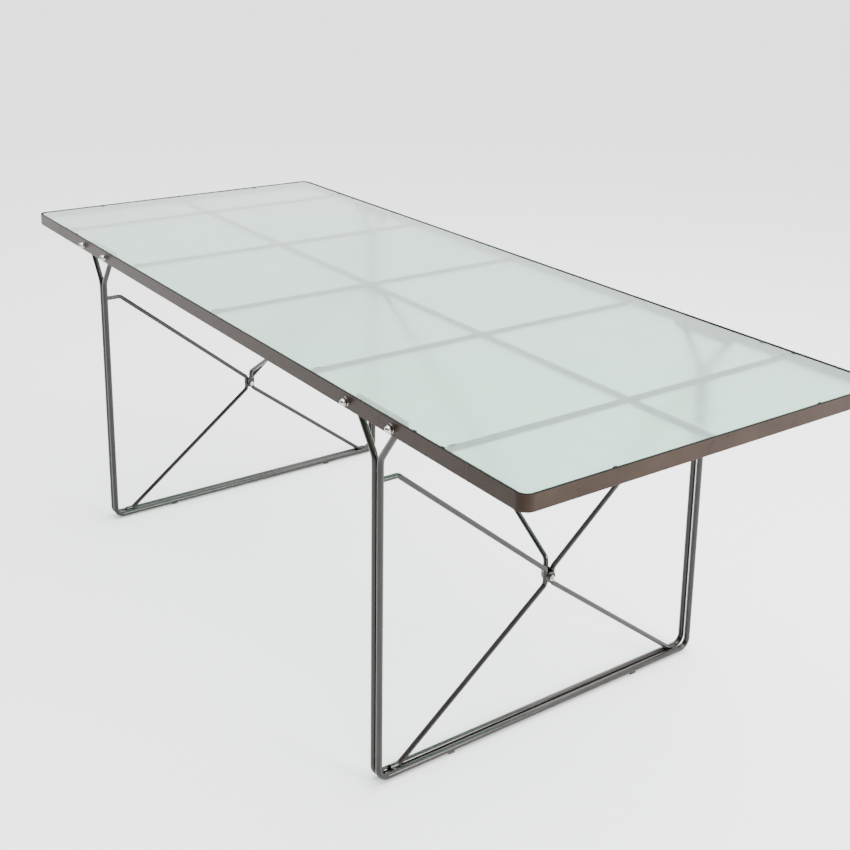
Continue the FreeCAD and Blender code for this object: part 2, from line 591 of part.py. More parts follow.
def make_u_rod(label, trestle, lean):
    """Bend one U rod: a stud and an arm at each end, two legs and a run along the floor."""
    rod_place = lean * number(ROD_OFFSET)
    stud_place = lean * number(STUD_OFFSET)
    leg_plane = number(LEG_PLANE)
    rail_face = number(INNER_WIDTH) / 2
    split, foot, stud = number(SPLIT_HEIGHT), number(FOOT_HEIGHT), number(STUD_HEIGHT)
    front = [
        Vector(stud_place, -rail_face, stud),
        Vector(stud_place, -leg_plane, stud),
        Vector(rod_place, -leg_plane, split),
        Vector(rod_place, -leg_plane, foot),
    ]
    back = [Vector(corner.x, -corner.y, corner.z) for corner in reversed(front)]
    side_bends = [number(f"Sizes.{bend}") for bend in ("stud_bend", "split_bend", "foot_bend")]
    rod = make_bent_rod(front + back, side_bends + side_bends[::-1], number("Sizes.rod_diameter"))
    thread_radius = number("Sizes.thread_diameter / 2")
    thread_length = number("Sizes.rim_thickness + Sizes.rail_washer_thickness + Sizes.thread_engagement")
    threads = []
    for _, face in FACES:
        shoulder = Vector(stud_place, face * rail_face, stud)
        threads.append(Part.makeCylinder(thread_radius, thread_length, shoulder, Vector(0, face, 0)))
    feature = document.addObject("Part::Feature", label)
    feature.Shape = rod.fuse(threads)
    feature.Placement = Placement(Vector(trestle * number(TRESTLE_OFFSET), 0, 0), Rotation())
    return keep(feature, label)


def make_brace(label, trestle, face):
    """Bend one brace: out of a leg, in to the crossing bolt, and out again to the floor run."""
    body = new_body(label)
    half_run = "(Sizes.crossing_run / 2)"
    outer, inner = f"{face} * {BRACE_CORNER}", f"{face} * {BRACE_OFFSET}"
    corners = [
        (f"{face} * {BRACE_END}", BRACE_TOP),
        (outer, BRACE_TOP),
        (inner, f"(Sizes.crossing_height + {half_run})"),
        (inner, f"(Sizes.crossing_height - {half_run})"),
        (f"{face} * {BRACE_FOOT_CORNER}", BRACE_FOOT_HEIGHT),
        (f"{face} * {BRACE_FOOT}", BRACE_FOOT_HEIGHT),
    ]
    spine = new_sketch(body, f"{label}_line", "YZ_Plane")
    draw_bent_line(spine, corners, "Sizes.brace_bend")
    section = new_sketch(body, f"{label}_section", "XZ_Plane", f"-1 * {face} * {BRACE_END}")
    draw_circle(section, ZERO, BRACE_TOP, "Sizes.brace_diameter")
    pipe(body, section, spine)
    body.setExpression("Placement.Base.x", f"{trestle} * {TRESTLE_OFFSET}")
    return body


def make_eye(body, plane, offset, centre, reached, hole):
    """Press a flat tongue with a round end at a stay's end and punch the hole in it."""
    end = f"{body.Name}_{plane[:2]}"
    tongue = new_sketch(body, f"{end}_tongue", plane, offset)
    draw_outline(tongue, tongue_corners(centre, reached))
    pad(body, tongue, "Sizes.eye_thickness", midplane=True)
    disc = new_sketch(body, f"{end}_eye", plane, offset)
    draw_circle(disc, *centre, "Sizes.eye_diameter")
    pad(body, disc, "Sizes.eye_thickness", midplane=True)
    punch = new_sketch(body, f"{end}_hole", plane, offset)
    draw_circle(punch, *centre, hole)
    pocket(body, punch, "2 * Sizes.eye_thickness", midplane=True)


def tongue_corners(centre, reached):
    """Return the tongue's four corners, from the eye's middle to where the neck begins."""
    half = "Sizes.eye_diameter / 2"
    if centre[0] == reached[0]:
        left, right = f"({centre[0]} - {half})", f"({centre[0]} + {half})"
        return [(left, centre[1]), (right, centre[1]), (right, reached[1]), (left, reached[1])]
    low, high = f"({centre[1]} - {half})", f"({centre[1]} + {half})"
    return [(centre[0], low), (reached[0], low), (reached[0], high), (centre[0], high)]


def make_neck(body, plane, flat_offset, round_offset, centre, upright):
    """Blend the round rod into the flat of its eye."""
    end = f"{body.Name}_{plane[:2]}"
    section = new_sketch(body, f"{end}_round", plane, round_offset)
    draw_circle(section, *centre, "Sizes.brace_diameter")
    flat = new_sketch(body, f"{end}_flat", plane, flat_offset)
    draw_ellipse(flat, centre, "Sizes.eye_diameter", "Sizes.eye_thickness", upright)
    neck = body.newObject("PartDesign::AdditiveLoft", f"{end}_neck")
    neck.Profile = section
    neck.Sections = [flat]
    document.recompute()


def make_stay(label, side):
    """Bend one stay, with an upright eye at the crossing bolt and a level eye at the top."""
    body = new_body(label)
    lower_place = f"({side} * {EYE_PLANE})"
    lower_flat = "(Sizes.crossing_height + Sizes.eye_reach)"
    lower_round = f"({lower_flat} + Sizes.eye_neck)"
    screw_place = f"({side} * {STAY_SCREW_OFFSET})"
    upper_flat = f"({side} * ({STAY_SCREW_OFFSET} + Sizes.eye_reach))"
    upper_round = f"({side} * ({STAY_SCREW_OFFSET} + Sizes.eye_reach + Sizes.eye_neck))"
    upper_bend = f"({side} * ({STAY_SCREW_OFFSET} + {STAY_REACH}))"
    corners = [
        (lower_place, lower_round),
        (lower_place, f"(Sizes.crossing_height + {STAY_REACH})"),
        (upper_bend, UPPER_EYE_HEIGHT),
        (upper_round, UPPER_EYE_HEIGHT),
    ]
    spine = new_sketch(body, f"{label}_line", "XZ_Plane")
    draw_bent_line(spine, corners, "Sizes.stay_bend")
    section = new_sketch(body, f"{label}_section", "XY_Plane", lower_round)
    draw_circle(section, lower_place, ZERO, "Sizes.brace_diameter")
    pipe(body, section, spine)
    make_neck(body, "XY_Plane", lower_flat, lower_round, (lower_place, ZERO), upright=True)
    make_eye(body, "YZ_Plane", lower_place, (ZERO, "Sizes.crossing_height"), (ZERO, lower_flat), BOLT_HOLE)
    make_neck(body, "YZ_Plane", upper_flat, upper_round, (ZERO, UPPER_EYE_HEIGHT), upright=False)
    screw_hole = "(Sizes.stay_screw_diameter + Sizes.stay_screw_clearance)"
    make_eye(body, "XY_Plane", UPPER_EYE_HEIGHT, (screw_place, ZERO), (upper_flat, ZERO), screw_hole)
    return body


def make_stay_plate():
    """Make the tapped plate under the centre bar that both stays screw up into."""
    body = new_body("stay_plate")
    outline = new_sketch(body, "plate_outline", "XY_Plane", STAY_PLATE_BOTTOM)
    draw_rounded_rectangle(outline, "Sizes.stay_plate_length", "Sizes.stay_plate_width",
                           "Sizes.stay_plate_corner")
    pad(body, outline, "Sizes.stay_plate_thickness")
    threads = new_sketch(body, "plate_threads", "XY_Plane", STAY_PLATE_BOTTOM)
    for _, side in SIDES:
        draw_circle(threads, f"{side} * {STAY_SCREW_OFFSET}", ZERO, "Sizes.stay_screw_diameter")
    pocket(body, threads, "Sizes.stay_plate_thickness", upwards=True)


def make_stay_screws():
    """Make the two button-head screws that hold the stays' upper eyes."""
    master = new_master("stay_screw_master")
    head = new_sketch(master, "screw_head", "XY_Plane")
    draw_circle(head, ZERO, ZERO, "Sizes.stay_screw_head")
    pad(master, head, "Sizes.stay_screw_head_height", downwards=True)
    soften(master, "Fillet", "Sizes.stay_screw_head_round", is_level_at("-1 * Sizes.stay_screw_head_height"))
    shank = new_sketch(master, "screw_shank", "XY_Plane")
    draw_circle(shank, ZERO, ZERO, "Sizes.stay_screw_diameter")
    pad(master, shank, "Sizes.eye_thickness + Sizes.stay_plate_thickness")
    socket = new_sketch(master, "screw_socket", "XY_Plane", "-1 * Sizes.stay_screw_head_height")
    draw_hexagon(socket, "Sizes.stay_screw_socket")
    pocket(master, socket, "Sizes.stay_screw_socket_depth", upwards=True)
    head_seat = f"({UPPER_EYE_HEIGHT} - Sizes.eye_thickness / 2)"
    group("stay_screws", master, [
        (Rotation(), (f"{side} * {STAY_SCREW_OFFSET}", ZERO, head_seat)) for _, side in SIDES])


def make_crossing_bolt(label, side):
    """Make the hexagon-head bolt that clamps a trestle's braces to its stay."""
    body = new_body(label)
    head = new_sketch(body, f"{label}_head", "XY_Plane")
    draw_hexagon(head, "Sizes.bolt_head_flats")
    pad(body, head, "Sizes.bolt_head_height", downwards=True)
    bevel_hexagon(body, "Sizes.bolt_head_flats", "(-1 * Sizes.bolt_head_height)", -1)
    shank = new_sketch(body, f"{label}_shank", "XY_Plane")
    draw_circle(shank, ZERO, ZERO, "Sizes.bolt_diameter")
    pad(body, shank, f"Sizes.eye_thickness + 2 * {CROSSING_STACK} + Sizes.bolt_engagement")
    body.Placement = Placement(Vector(), turned_to(Vector(side, 0, 0)))
    body.setExpression("Placement.Base.x", f"{side} * ({EYE_PLANE} - Sizes.eye_thickness / 2)")
    body.setExpression("Placement.Base.z", "Sizes.crossing_height")


def make_glide_master():
    """Make the saddle-shaped plastic glide, with its groove for the rod above it."""
    master = new_master("glide_master")
    outline = new_sketch(master, "glide_outline", "XY_Plane")
    draw_rectangle(outline, "Sizes.glide_width", "Sizes.glide_length")
    pad(master, outline, "Sizes.glide_lift + Sizes.glide_grip")
    groove = new_sketch(master, "glide_groove", "XZ_Plane")
    draw_circle(groove, ZERO, FOOT_HEIGHT, "Sizes.rod_diameter")
    pocket(master, groove, "2 * Sizes.glide_length", midplane=True)
    return master


def make_trestle(name, side, masters):
    """Build one trestle and the fasteners that join it to the rim and to its stay."""
    middle = f"{side} * {TRESTLE_OFFSET}"
    make_u_rod(f"{name}_outer_rod", side, side)
    make_u_rod(f"{name}_inner_rod", side, -side)
    for face_name, face in FACES:
        make_brace(f"{name}_{face_name}_brace", side, face)
        spreader_inset = f"({LEG_PLANE} - (Sizes.rod_diameter + Sizes.spreader_thickness) / 2)"
        block(f"{name}_{face_name}_spreader",
              (middle, f"{face} * {spreader_inset}", f"({RIM_BOTTOM} + Sizes.spreader_height / 2)"),
              ("(Sizes.arm_spread + 2 * Sizes.spreader_overhang)", "Sizes.spreader_thickness",
               "Sizes.spreader_height"))

    make_crossing_bolt(f"{name}_crossing_bolt", side)
    outwards, inwards = turned_to(Vector(side, 0, 0)), turned_to(Vector(-side, 0, 0))
    outer_face = f"{side} * ({TRESTLE_OFFSET} + Sizes.brace_diameter / 2)"
    inner_face = f"{side} * ({TRESTLE_OFFSET} - Sizes.brace_diameter / 2)"
    group(f"{name}_crossing_washers", masters["crossing_washer"], [
        (outwards, (outer_face, ZERO, "Sizes.crossing_height")),
        (inwards, (inner_face, ZERO, "Sizes.crossing_height"))])
    nut_face = f"{side} * ({TRESTLE_OFFSET} + {CROSSING_STACK})"
    group(f"{name}_crossing_nut", masters["crossing_nut"], [
        (outwards, (nut_face, ZERO, "Sizes.crossing_height"))])

    studs = [(f"{middle} + {stud} * {STUD_OFFSET}", face) for _, face in FACES for stud in (-1, 1)]

    def against_rail(direction, reach):
        return [(turned_to(Vector(0, direction * face, 0)), (across, f"{face} * ({reach})", STUD_HEIGHT))
                for across, face in studs]

    group(f"{name}_rail_collars", masters["collar"], against_rail(-1, f"{INNER_WIDTH} / 2"))
    group(f"{name}_rail_washers", masters["rail_washer"], against_rail(1, HALF_WIDTH))
    nut_reach = f"{HALF_WIDTH} + Sizes.rail_washer_thickness"
    group(f"{name}_cap_nuts", masters["rail_nut"], against_rail(1, nut_reach))
    group(f"{name}_glides", masters["glide"], [
        (Rotation(), (f"{middle} + {rod} * {ROD_OFFSET}", f"{face} * Sizes.glide_spread / 2", ZERO))
        for _, face in FACES for rod in (-1, 1)])


def make_masters():
    """Make the pieces that a trestle holds several of."""
    return {
        "collar": make_ring("collar_master", "Sizes.collar_diameter", "Sizes.rod_diameter",
                            "Sizes.collar_thickness"),
        "rail_washer": make_ring("rail_washer_master", "Sizes.rail_washer_diameter", STUD_HOLE,
                                 "Sizes.rail_washer_thickness"),
        "rail_nut": make_dome_nut("rail_nut_master", "Sizes.rail_nut_flats", "Sizes.rail_nut_hexagon",
                                  "Sizes.rail_nut_dome", "Sizes.rail_nut_neck", "Sizes.rail_nut_depth",
                                  "Sizes.thread_diameter"),
        "crossing_washer": make_ring("crossing_washer_master", "Sizes.crossing_washer_diameter",
                                     BOLT_HOLE, "Sizes.crossing_washer_thickness"),
        "crossing_nut": make_dome_nut("crossing_nut_master", "Sizes.bolt_head_flats",
                                      "Sizes.crossing_nut_hexagon", "Sizes.crossing_nut_dome",
                                      "Sizes.crossing_nut_neck", "Sizes.crossing_nut_depth",
                                      "Sizes.bolt_diameter"),
        "glide": make_glide_master(),
    }


def check_model():
    """Stop with a plain message if any object failed or any sub-part has a bad shape."""
    document.recompute()
    for item in document.Objects:
        if "Invalid" in item.State or "Error" in item.State:
            raise RuntimeError(f"{item.Label} failed to build: {item.State}")
    for label, node in nodes.items():
        if node.Shape.isNull() or not node.Shape.isValid() or not node.Shape.Solids:
            raise RuntimeError(f"{label} has no valid solid")


def export_parts():
    """Write each sub-part to a file of its own."""
    os.makedirs("parts", exist_ok=True)
    for label, node in nodes.items():
        node.Shape.exportStep(f"parts/{label}.step")


make_rim()
make_bars()
make_pane()
make_rubber()
make_stay_plate()
make_stay_screws()
trestle_masters = make_masters()
for side_name, side_sign in SIDES:
    make_stay(f"{side_name}_stay", side_sign)
    make_trestle(side_name, side_sign, trestle_masters)
check_model()
export_parts()
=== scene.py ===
"""Dress and light a glass-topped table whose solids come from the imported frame.

The CAD nodes keep their shapes and places. This file gives every node its finish, adds the
weld beads that join the steel, and sets up a plain floor, soft lights and a camera.
"""

import enum
import logging
import math
import random
from dataclasses import dataclass
from typing import Iterable

import bpy
from mathutils import Euler, Matrix, Vector


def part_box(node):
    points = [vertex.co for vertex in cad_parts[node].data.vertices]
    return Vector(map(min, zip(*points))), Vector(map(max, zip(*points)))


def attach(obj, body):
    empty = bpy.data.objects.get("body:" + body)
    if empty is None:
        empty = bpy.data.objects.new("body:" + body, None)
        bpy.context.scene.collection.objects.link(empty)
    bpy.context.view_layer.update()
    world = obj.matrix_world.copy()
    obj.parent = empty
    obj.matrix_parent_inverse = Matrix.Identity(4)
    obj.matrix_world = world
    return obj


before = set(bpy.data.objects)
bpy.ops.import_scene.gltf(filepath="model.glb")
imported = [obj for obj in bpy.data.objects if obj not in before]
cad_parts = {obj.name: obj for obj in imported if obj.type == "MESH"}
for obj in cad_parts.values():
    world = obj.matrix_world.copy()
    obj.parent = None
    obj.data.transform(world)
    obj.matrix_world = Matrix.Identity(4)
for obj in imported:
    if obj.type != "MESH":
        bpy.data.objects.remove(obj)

MILLIMETRE = 0.001
LOG = logging.getLogger("table")
Colour = tuple[float, float, float, float]
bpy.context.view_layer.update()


class Body(enum.Enum):
    """Names the rigid bodies that pieces ride on."""

    FRAME = "frame"
    GLASS = "glass"


class Side(enum.Enum):
    """Tells the two trestles apart by their sign along X."""

    LEFT = -1
    RIGHT = 1

    @property
    def label(self) -> str:
        """Return the side's name as the nodes spell it."""
        return self.name.lower()


@dataclass(frozen=True)
class PaintFinish:
    """Describes sprayed paint on steel.

    Args:
        name: Material name.
        base: Main paint colour.
        thin: Colour where the coat is thin or rubbed.
        mottle_scale: Size of the slow colour drift, in cells per metre.
        mottle_amount: How far the drift reaches towards the thin colour.
        peel_scale: Size of the orange peel, in cells per metre.
        peel_height: Height of the orange peel in metres.
        roughness: Lowest and highest roughness over the surface.
        shine: Strength of the paint's own reflections.
        metallic: How metallic the pigment is.
        painted_shade_above: Height above which the top edge is painted dark and dull as painted shade,
            or None.
    """

    name: str
    base: Colour
    thin: Colour
    mottle_scale: float
    mottle_amount: float
    peel_scale: float
    peel_height: float
    roughness: tuple[float, float]
    shine: float
    metallic: float
    painted_shade_above: float | None = None


@dataclass(frozen=True)
class MetalFinish:
    """Describes plated or polished metal.

    Args:
        name: Material name.
        base: Colour of the clean metal.
        tarnish: Colour of the dulled patches.
        scratch_scale: Size of the fine marks, in cells per metre.
        scratch_height: Height of the fine marks in metres.
        roughness: Lowest and highest roughness over the surface.
    """

    name: str
    base: Colour
    tarnish: Colour
    scratch_scale: float
    scratch_height: float
    roughness: tuple[float, float]


@dataclass(frozen=True)
class MouldedFinish:
    """Describes rubber or moulded plastic.

    Args:
        name: Material name.
        base: Main colour.
        dust: Colour of the dust that settles on it.
        dust_amount: How much dust shows.
        grain_scale: Size of the moulded grain, in cells per metre.
        grain_height: Height of the grain in metres.
        roughness: Lowest and highest roughness over the surface.
    """

    name: str
    base: Colour
    dust: Colour
    dust_amount: float
    grain_scale: float
    grain_height: float
    roughness: tuple[float, float]


@dataclass(frozen=True)
class GlassFinish:
    """Describes a pane with a finely ground face.

    Args:
        name: Material name.
        face: Colour seen through the faces.
        edge: Greener colour along the ground edge.
        edge_width: Width of the greener strip in metres.
        face_roughness: Roughness of the polished and the ground face.
        transmission: Share of the light that passes.
        index: Refractive index.
        grain_scale: Size of the grinding, in cells per metre.
        grain_height: Height of the grinding in metres.
        shadow_tint: Colour of the light that falls through the pane.
    """

    name: str
    face: Colour
    edge: Colour
    edge_width: float
    face_roughness: tuple[float, float]
    transmission: float
    index: float
    grain_scale: float
    grain_height: float
    shadow_tint: Colour


RIM_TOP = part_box("top_rim")[1].z
RIM_PAINT = PaintFinish(
    name="bronze_rim_paint",
    base=(0.023, 0.0135, 0.0092, 1.0),
    thin=(0.042, 0.027, 0.019, 1.0),
    mottle_scale=9.0,
    mottle_amount=0.55,
    peel_scale=900.0,
    peel_height=0.00002,
    roughness=(0.24, 0.36),
    shine=0.10,
    metallic=0.1,
    # painted shade: the rim's top 0.7 mm is painted dark and dull, standing in for the shade along its
    # top edge
    painted_shade_above=RIM_TOP - 0.7 * MILLIMETRE,
)
BAR_PAINT = PaintFinish(
    name="brown_bar_paint",
    base=(0.010, 0.0078, 0.0062, 1.0),
    thin=(0.020, 0.016, 0.0125, 1.0),
    mottle_scale=14.0,
    mottle_amount=0.5,
    peel_scale=800.0,
    peel_height=0.00003,
    roughness=(0.38, 0.55),
    shine=0.3,
    metallic=0.1,
)
ROD_PAINT = PaintFinish(
    name="graphite_rod_paint",
    base=(0.0075, 0.0056, 0.0045, 1.0),
    thin=(0.018, 0.014, 0.0115, 1.0),
    mottle_scale=22.0,
    mottle_amount=0.5,
    peel_scale=1100.0,
    peel_height=0.00003,
    roughness=(0.13, 0.22),
    shine=0.40,
    metallic=0.1,
)
CHROME = MetalFinish(
    name="bright_nut_chrome",
    base=(0.50, 0.49, 0.47, 1.0),
    tarnish=(0.26, 0.245, 0.22, 1.0),
    scratch_scale=500.0,
    scratch_height=0.00001,
    roughness=(0.06, 0.22),
)
ZINC = MetalFinish(
    name="dull_zinc_plate",
    base=(0.42, 0.41, 0.39, 1.0),
    tarnish=(0.22, 0.21, 0.20, 1.0),
    scratch_scale=700.0,
    scratch_height=0.00002,
    roughness=(0.28, 0.5),
)
RUBBER = MouldedFinish(
    name="black_pad_rubber",
    base=(0.012, 0.012, 0.012, 1.0),
    dust=(0.10, 0.10, 0.095, 1.0),
    dust_amount=0.25,
    grain_scale=1500.0,
    grain_height=0.00004,
    roughness=(0.7, 0.9),
)
GLIDE_PLASTIC = MouldedFinish(
    name="black_glide_plastic",
    base=(0.016, 0.016, 0.017, 1.0),
    dust=(0.14, 0.135, 0.13, 1.0),
    dust_amount=0.35,
    grain_scale=900.0,
    grain_height=0.00003,
    roughness=(0.45, 0.65),
)
PANE_GLASS = GlassFinish(
    name="frosted_pane_glass",
    face=(0.31, 0.52, 0.415, 1.0),
    edge=(0.18, 0.42, 0.30, 1.0),
    edge_width=0.006,
    face_roughness=(0.05, 0.19),
    transmission=0.97,
    index=1.5,
    grain_scale=2600.0,
    grain_height=0.00001,
    shadow_tint=(0.86, 0.91, 0.89, 1.0),
)

DRIFT_DETAIL = 5.0
DRIFT_NOISE_ROUGHNESS = 0.6
DRIFT_COLOUR_BAND = (0.38, 0.68)
DRIFT_ROUGHNESS_BAND = (0.3, 0.7)
GRAIN_DETAIL = 3.0
BUMP_DISTANCE = 1.0
# painted shade for the rim's top edge: its colour, its roughness and the height over which it fades in
PAINTED_SHADE_COLOUR = (0.004, 0.004, 0.0035, 1.0)
PAINTED_SHADE_ROUGHNESS = 0.8
PAINTED_SHADE_FADE = 0.3 * MILLIMETRE
TARNISH_SCALE = 140.0
TARNISH_AMOUNT = 0.6
DUST_SCALE = 90.0
PANE_DRIFT_SCALE = 30.0
PANE_ROUGHNESS_SPREAD = 0.05
PANE_TOP_START = 0.4 * MILLIMETRE
PANE_TOP_END = 0.1 * MILLIMETRE


class ShaderBench:
    """Builds node trees: shared effect groups first, then each material around them."""

    def __init__(self) -> None:
        """Build the shared groups once."""
        self.drift = self._build_drift()
        self.grain = self._build_grain()

    @staticmethod
    def _new_group(name: str, values: Iterable[tuple[str, str, float | Colour]],
                   results: Iterable[tuple[str, str]]) -> bpy.types.NodeTree:
        """Return an empty shader group with its sockets.

        Args:
            name: Group name.
            values: Input names, kinds and defaults.
            results: Output names and kinds.

        Returns:
            The node group.
        """
        tree = bpy.data.node_groups.new(name, "ShaderNodeTree")
        for label, kind, default in values:
            socket = tree.interface.new_socket(name=label, in_out="INPUT", socket_type=kind)
            socket.default_value = default
        for label, kind in results:
            tree.interface.new_socket(name=label, in_out="OUTPUT", socket_type=kind)
        return tree

    def _build_drift(self) -> bpy.types.NodeTree:
        """Build the group that lets colour and roughness wander slowly over a surface.

        Returns:
            The group.
        """
        tree = self._new_group(
            "slow_drift",
            (("Main Colour", "NodeSocketColor", (0.5, 0.5, 0.5, 1.0)),
             ("Second Colour", "NodeSocketColor", (0.6, 0.6, 0.6, 1.0)),
             ("Scale", "NodeSocketFloat", 10.0),
             ("Amount", "NodeSocketFloat", 0.5),
             ("Low Roughness", "NodeSocketFloat", 0.3),
             ("High Roughness", "NodeSocketFloat", 0.5)),
            (("Colour", "NodeSocketColor"), ("Roughness", "NodeSocketFloat")))
        nodes, links = tree.nodes, tree.links
        start, end = nodes.new("NodeGroupInput"), nodes.new("NodeGroupOutput")
        place = nodes.new("ShaderNodeTexCoord")
        broad = nodes.new("ShaderNodeTexNoise")
        broad.inputs["Detail"].default_value = DRIFT_DETAIL
        broad.inputs["Roughness"].default_value = DRIFT_NOISE_ROUGHNESS
        links.new(place.outputs["Object"], broad.inputs["Vector"])
        links.new(start.outputs["Scale"], broad.inputs["Scale"])
        sharpen = nodes.new("ShaderNodeMapRange")
        sharpen.inputs["From Min"].default_value = DRIFT_COLOUR_BAND[0]
        sharpen.inputs["From Max"].default_value = DRIFT_COLOUR_BAND[1]
        links.new(broad.outputs["Fac"], sharpen.inputs["Value"])
        share = nodes.new("ShaderNodeMath")
        share.operation = "MULTIPLY"
        links.new(sharpen.outputs["Result"], share.inputs[0])
        links.new(start.outputs["Amount"], share.inputs[1])
        blend = nodes.new("ShaderNodeMix")
        blend.data_type = "RGBA"
        links.new(share.outputs[0], blend.inputs["Factor"])
        links.new(start.outputs["Main Colour"], blend.inputs["A"])
        links.new(start.outputs["Second Colour"], blend.inputs["B"])
        rough = nodes.new("ShaderNodeMapRange")
        links.new(broad.outputs["Fac"], rough.inputs["Value"])
        rough.inputs["From Min"].default_value = DRIFT_ROUGHNESS_BAND[0]
        rough.inputs["From Max"].default_value = DRIFT_ROUGHNESS_BAND[1]
        links.new(start.outputs["Low Roughness"], rough.inputs["To Min"])
        links.new(start.outputs["High Roughness"], rough.inputs["To Max"])
        links.new(blend.outputs["Result"], end.inputs["Colour"])
        links.new(rough.outputs["Result"], end.inputs["Roughness"])
        return tree

    def _build_grain(self) -> bpy.types.NodeTree:
        """Build the group that gives the fine height of paint peel, plating or moulded grain.

        Returns:
            The group.
        """
        tree = self._new_group(
            "fine_grain",
            (("Scale", "NodeSocketFloat", 800.0), ("Height", "NodeSocketFloat", 0.00002)),
            (("Height", "NodeSocketFloat"),))
        nodes, links = tree.nodes, tree.links
        start, end = nodes.new("NodeGroupInput"), nodes.new("NodeGroupOutput")
        place = nodes.new("ShaderNodeTexCoord")
        fine = nodes.new("ShaderNodeTexNoise")
        fine.inputs["Detail"].default_value = GRAIN_DETAIL
        links.new(place.outputs["Object"], fine.inputs["Vector"])
        links.new(start.outputs["Scale"], fine.inputs["Scale"])
        lift = nodes.new("ShaderNodeMath")
        lift.operation = "MULTIPLY"
        links.new(fine.outputs["Fac"], lift.inputs[0])
        links.new(start.outputs["Height"], lift.inputs[1])
        links.new(lift.outputs[0], end.inputs["Height"])
        return tree

    def _new_material(self, name: str) -> tuple[bpy.types.Material, bpy.types.Node]:
        """Start a material.

        Args:
            name: Material name.

        Returns:
            The material and its principled shader.
        """
        material = bpy.data.materials.new(name)
        material.use_nodes = True
        return material, material.node_tree.nodes["Principled BSDF"]

    def _place_group(self, tree: bpy.types.NodeTree, group: bpy.types.NodeTree,
                     values: dict[str, float | Colour]) -> bpy.types.Node:
        """Place a shared group in a material with its own values.

        Args:
            tree: The material's node tree.
            group: The shared group.
            values: Input values by their labels.

        Returns:
            The group's node.
        """
        node = tree.nodes.new("ShaderNodeGroup")
        node.node_tree = group
        for label, value in values.items():
            node.inputs[label].default_value = value
        return node

    def _add_drift(self, tree: bpy.types.NodeTree, main: Colour, second: Colour, scale: float,
                   amount: float, roughness: tuple[float, float]) -> bpy.types.Node:
        """Place the slow drift in a material.

        Args:
            tree: The material's node tree.
            main: Main colour.
            second: Colour that the surface drifts towards.
            scale: Size of the drift, in cells per metre.
            amount: How far the colour drifts.
            roughness: Lowest and highest roughness.

        Returns:
            The drift's node.
        """
        return self._place_group(tree, self.drift, {
            "Main Colour": main, "Second Colour": second, "Scale": scale, "Amount": amount,
            "Low Roughness": roughness[0], "High Roughness": roughness[1]})

    def _add_bump(self, tree: bpy.types.NodeTree, shader: bpy.types.Node, scale: float,
                  height: float) -> None:
        """Give a shader the fine grain as its bump.

        Args:
            tree: The material's node tree.
            shader: The shader.
            scale: Size of the grain, in cells per metre.
            height: Height of the grain in metres.
        """
        grain = self._place_group(tree, self.grain, {"Scale": scale, "Height": height})
        bump = tree.nodes.new("ShaderNodeBump")
        bump.inputs["Distance"].default_value = BUMP_DISTANCE
        tree.links.new(grain.outputs["Height"], bump.inputs["Height"])
        tree.links.new(bump.outputs["Normal"], shader.inputs["Normal"])

    def _height_mask(self, tree: bpy.types.NodeTree, low: float, high: float) -> bpy.types.NodeSocket:
        """Make a mask that rises from 0 to 1 between two heights of the object.

        Args:
            tree: The material's node tree.
            low: Height where it starts.
            high: Height where it is full.

        Returns:
            The mask.
        """
        place = tree.nodes.new("ShaderNodeTexCoord")
        split = tree.nodes.new("ShaderNodeSeparateXYZ")
        ramp = tree.nodes.new("ShaderNodeMapRange")
        ramp.inputs["From Min"].default_value = low
        ramp.inputs["From Max"].default_value = high
        tree.links.new(place.outputs["Object"], split.inputs["Vector"])
        tree.links.new(split.outputs["Z"], ramp.inputs["Value"])
        return ramp.outputs["Result"]

    @staticmethod
    def _mix(tree: bpy.types.NodeTree, kind: str, mask: bpy.types.NodeSocket,
             below: bpy.types.NodeSocket, above: float | Colour) -> bpy.types.NodeSocket:
        """Change a colour or value to a fixed one where a mask is 1.

        Args:
            tree: The material's node tree.
            kind: RGBA for a colour, FLOAT for a value.
            mask: Where to change it.
            below: What shows where the mask is 0.
            above: What shows where the mask is 1.

        Returns:
            The mixed colour or value.
        """
        blend = tree.nodes.new("ShaderNodeMix")
        blend.data_type = kind
        tree.links.new(mask, blend.inputs["Factor"])
        tree.links.new(below, blend.inputs["A"])
        blend.inputs["B"].default_value = above
        return blend.outputs["Result"]

    def paint(self, finish: PaintFinish) -> bpy.types.Material:
        """Make sprayed paint with slow mottling, orange peel and, where asked, painted shade along the
        top edge.

        Args:
            finish: The paint.

        Returns:
            The material.
        """
        material, shader = self._new_material(finish.name)
        tree = material.node_tree
        drift = self._add_drift(tree, finish.base, finish.thin, finish.mottle_scale,
                                finish.mottle_amount, finish.roughness)
        colour, roughness = drift.outputs["Colour"], drift.outputs["Roughness"]
        shader.inputs["Specular IOR Level"].default_value = finish.shine
        shader.inputs["Metallic"].default_value = finish.metallic
        # painted shade: above the given height the surface turns dark and dull, standing in for shade on
        # the top edge
        if finish.painted_shade_above is not None:
            mask = self._height_mask(tree, finish.painted_shade_above, finish.painted_shade_above + PAINTED_SHADE_FADE)
            colour = self._mix(tree, "RGBA", mask, colour, PAINTED_SHADE_COLOUR)
            roughness = self._mix(tree, "FLOAT", mask, roughness, PAINTED_SHADE_ROUGHNESS)
        tree.links.new(colour, shader.inputs["Base Color"])
        tree.links.new(roughness, shader.inputs["Roughness"])
        self._add_bump(tree, shader, finish.peel_scale, finish.peel_height)
        return material

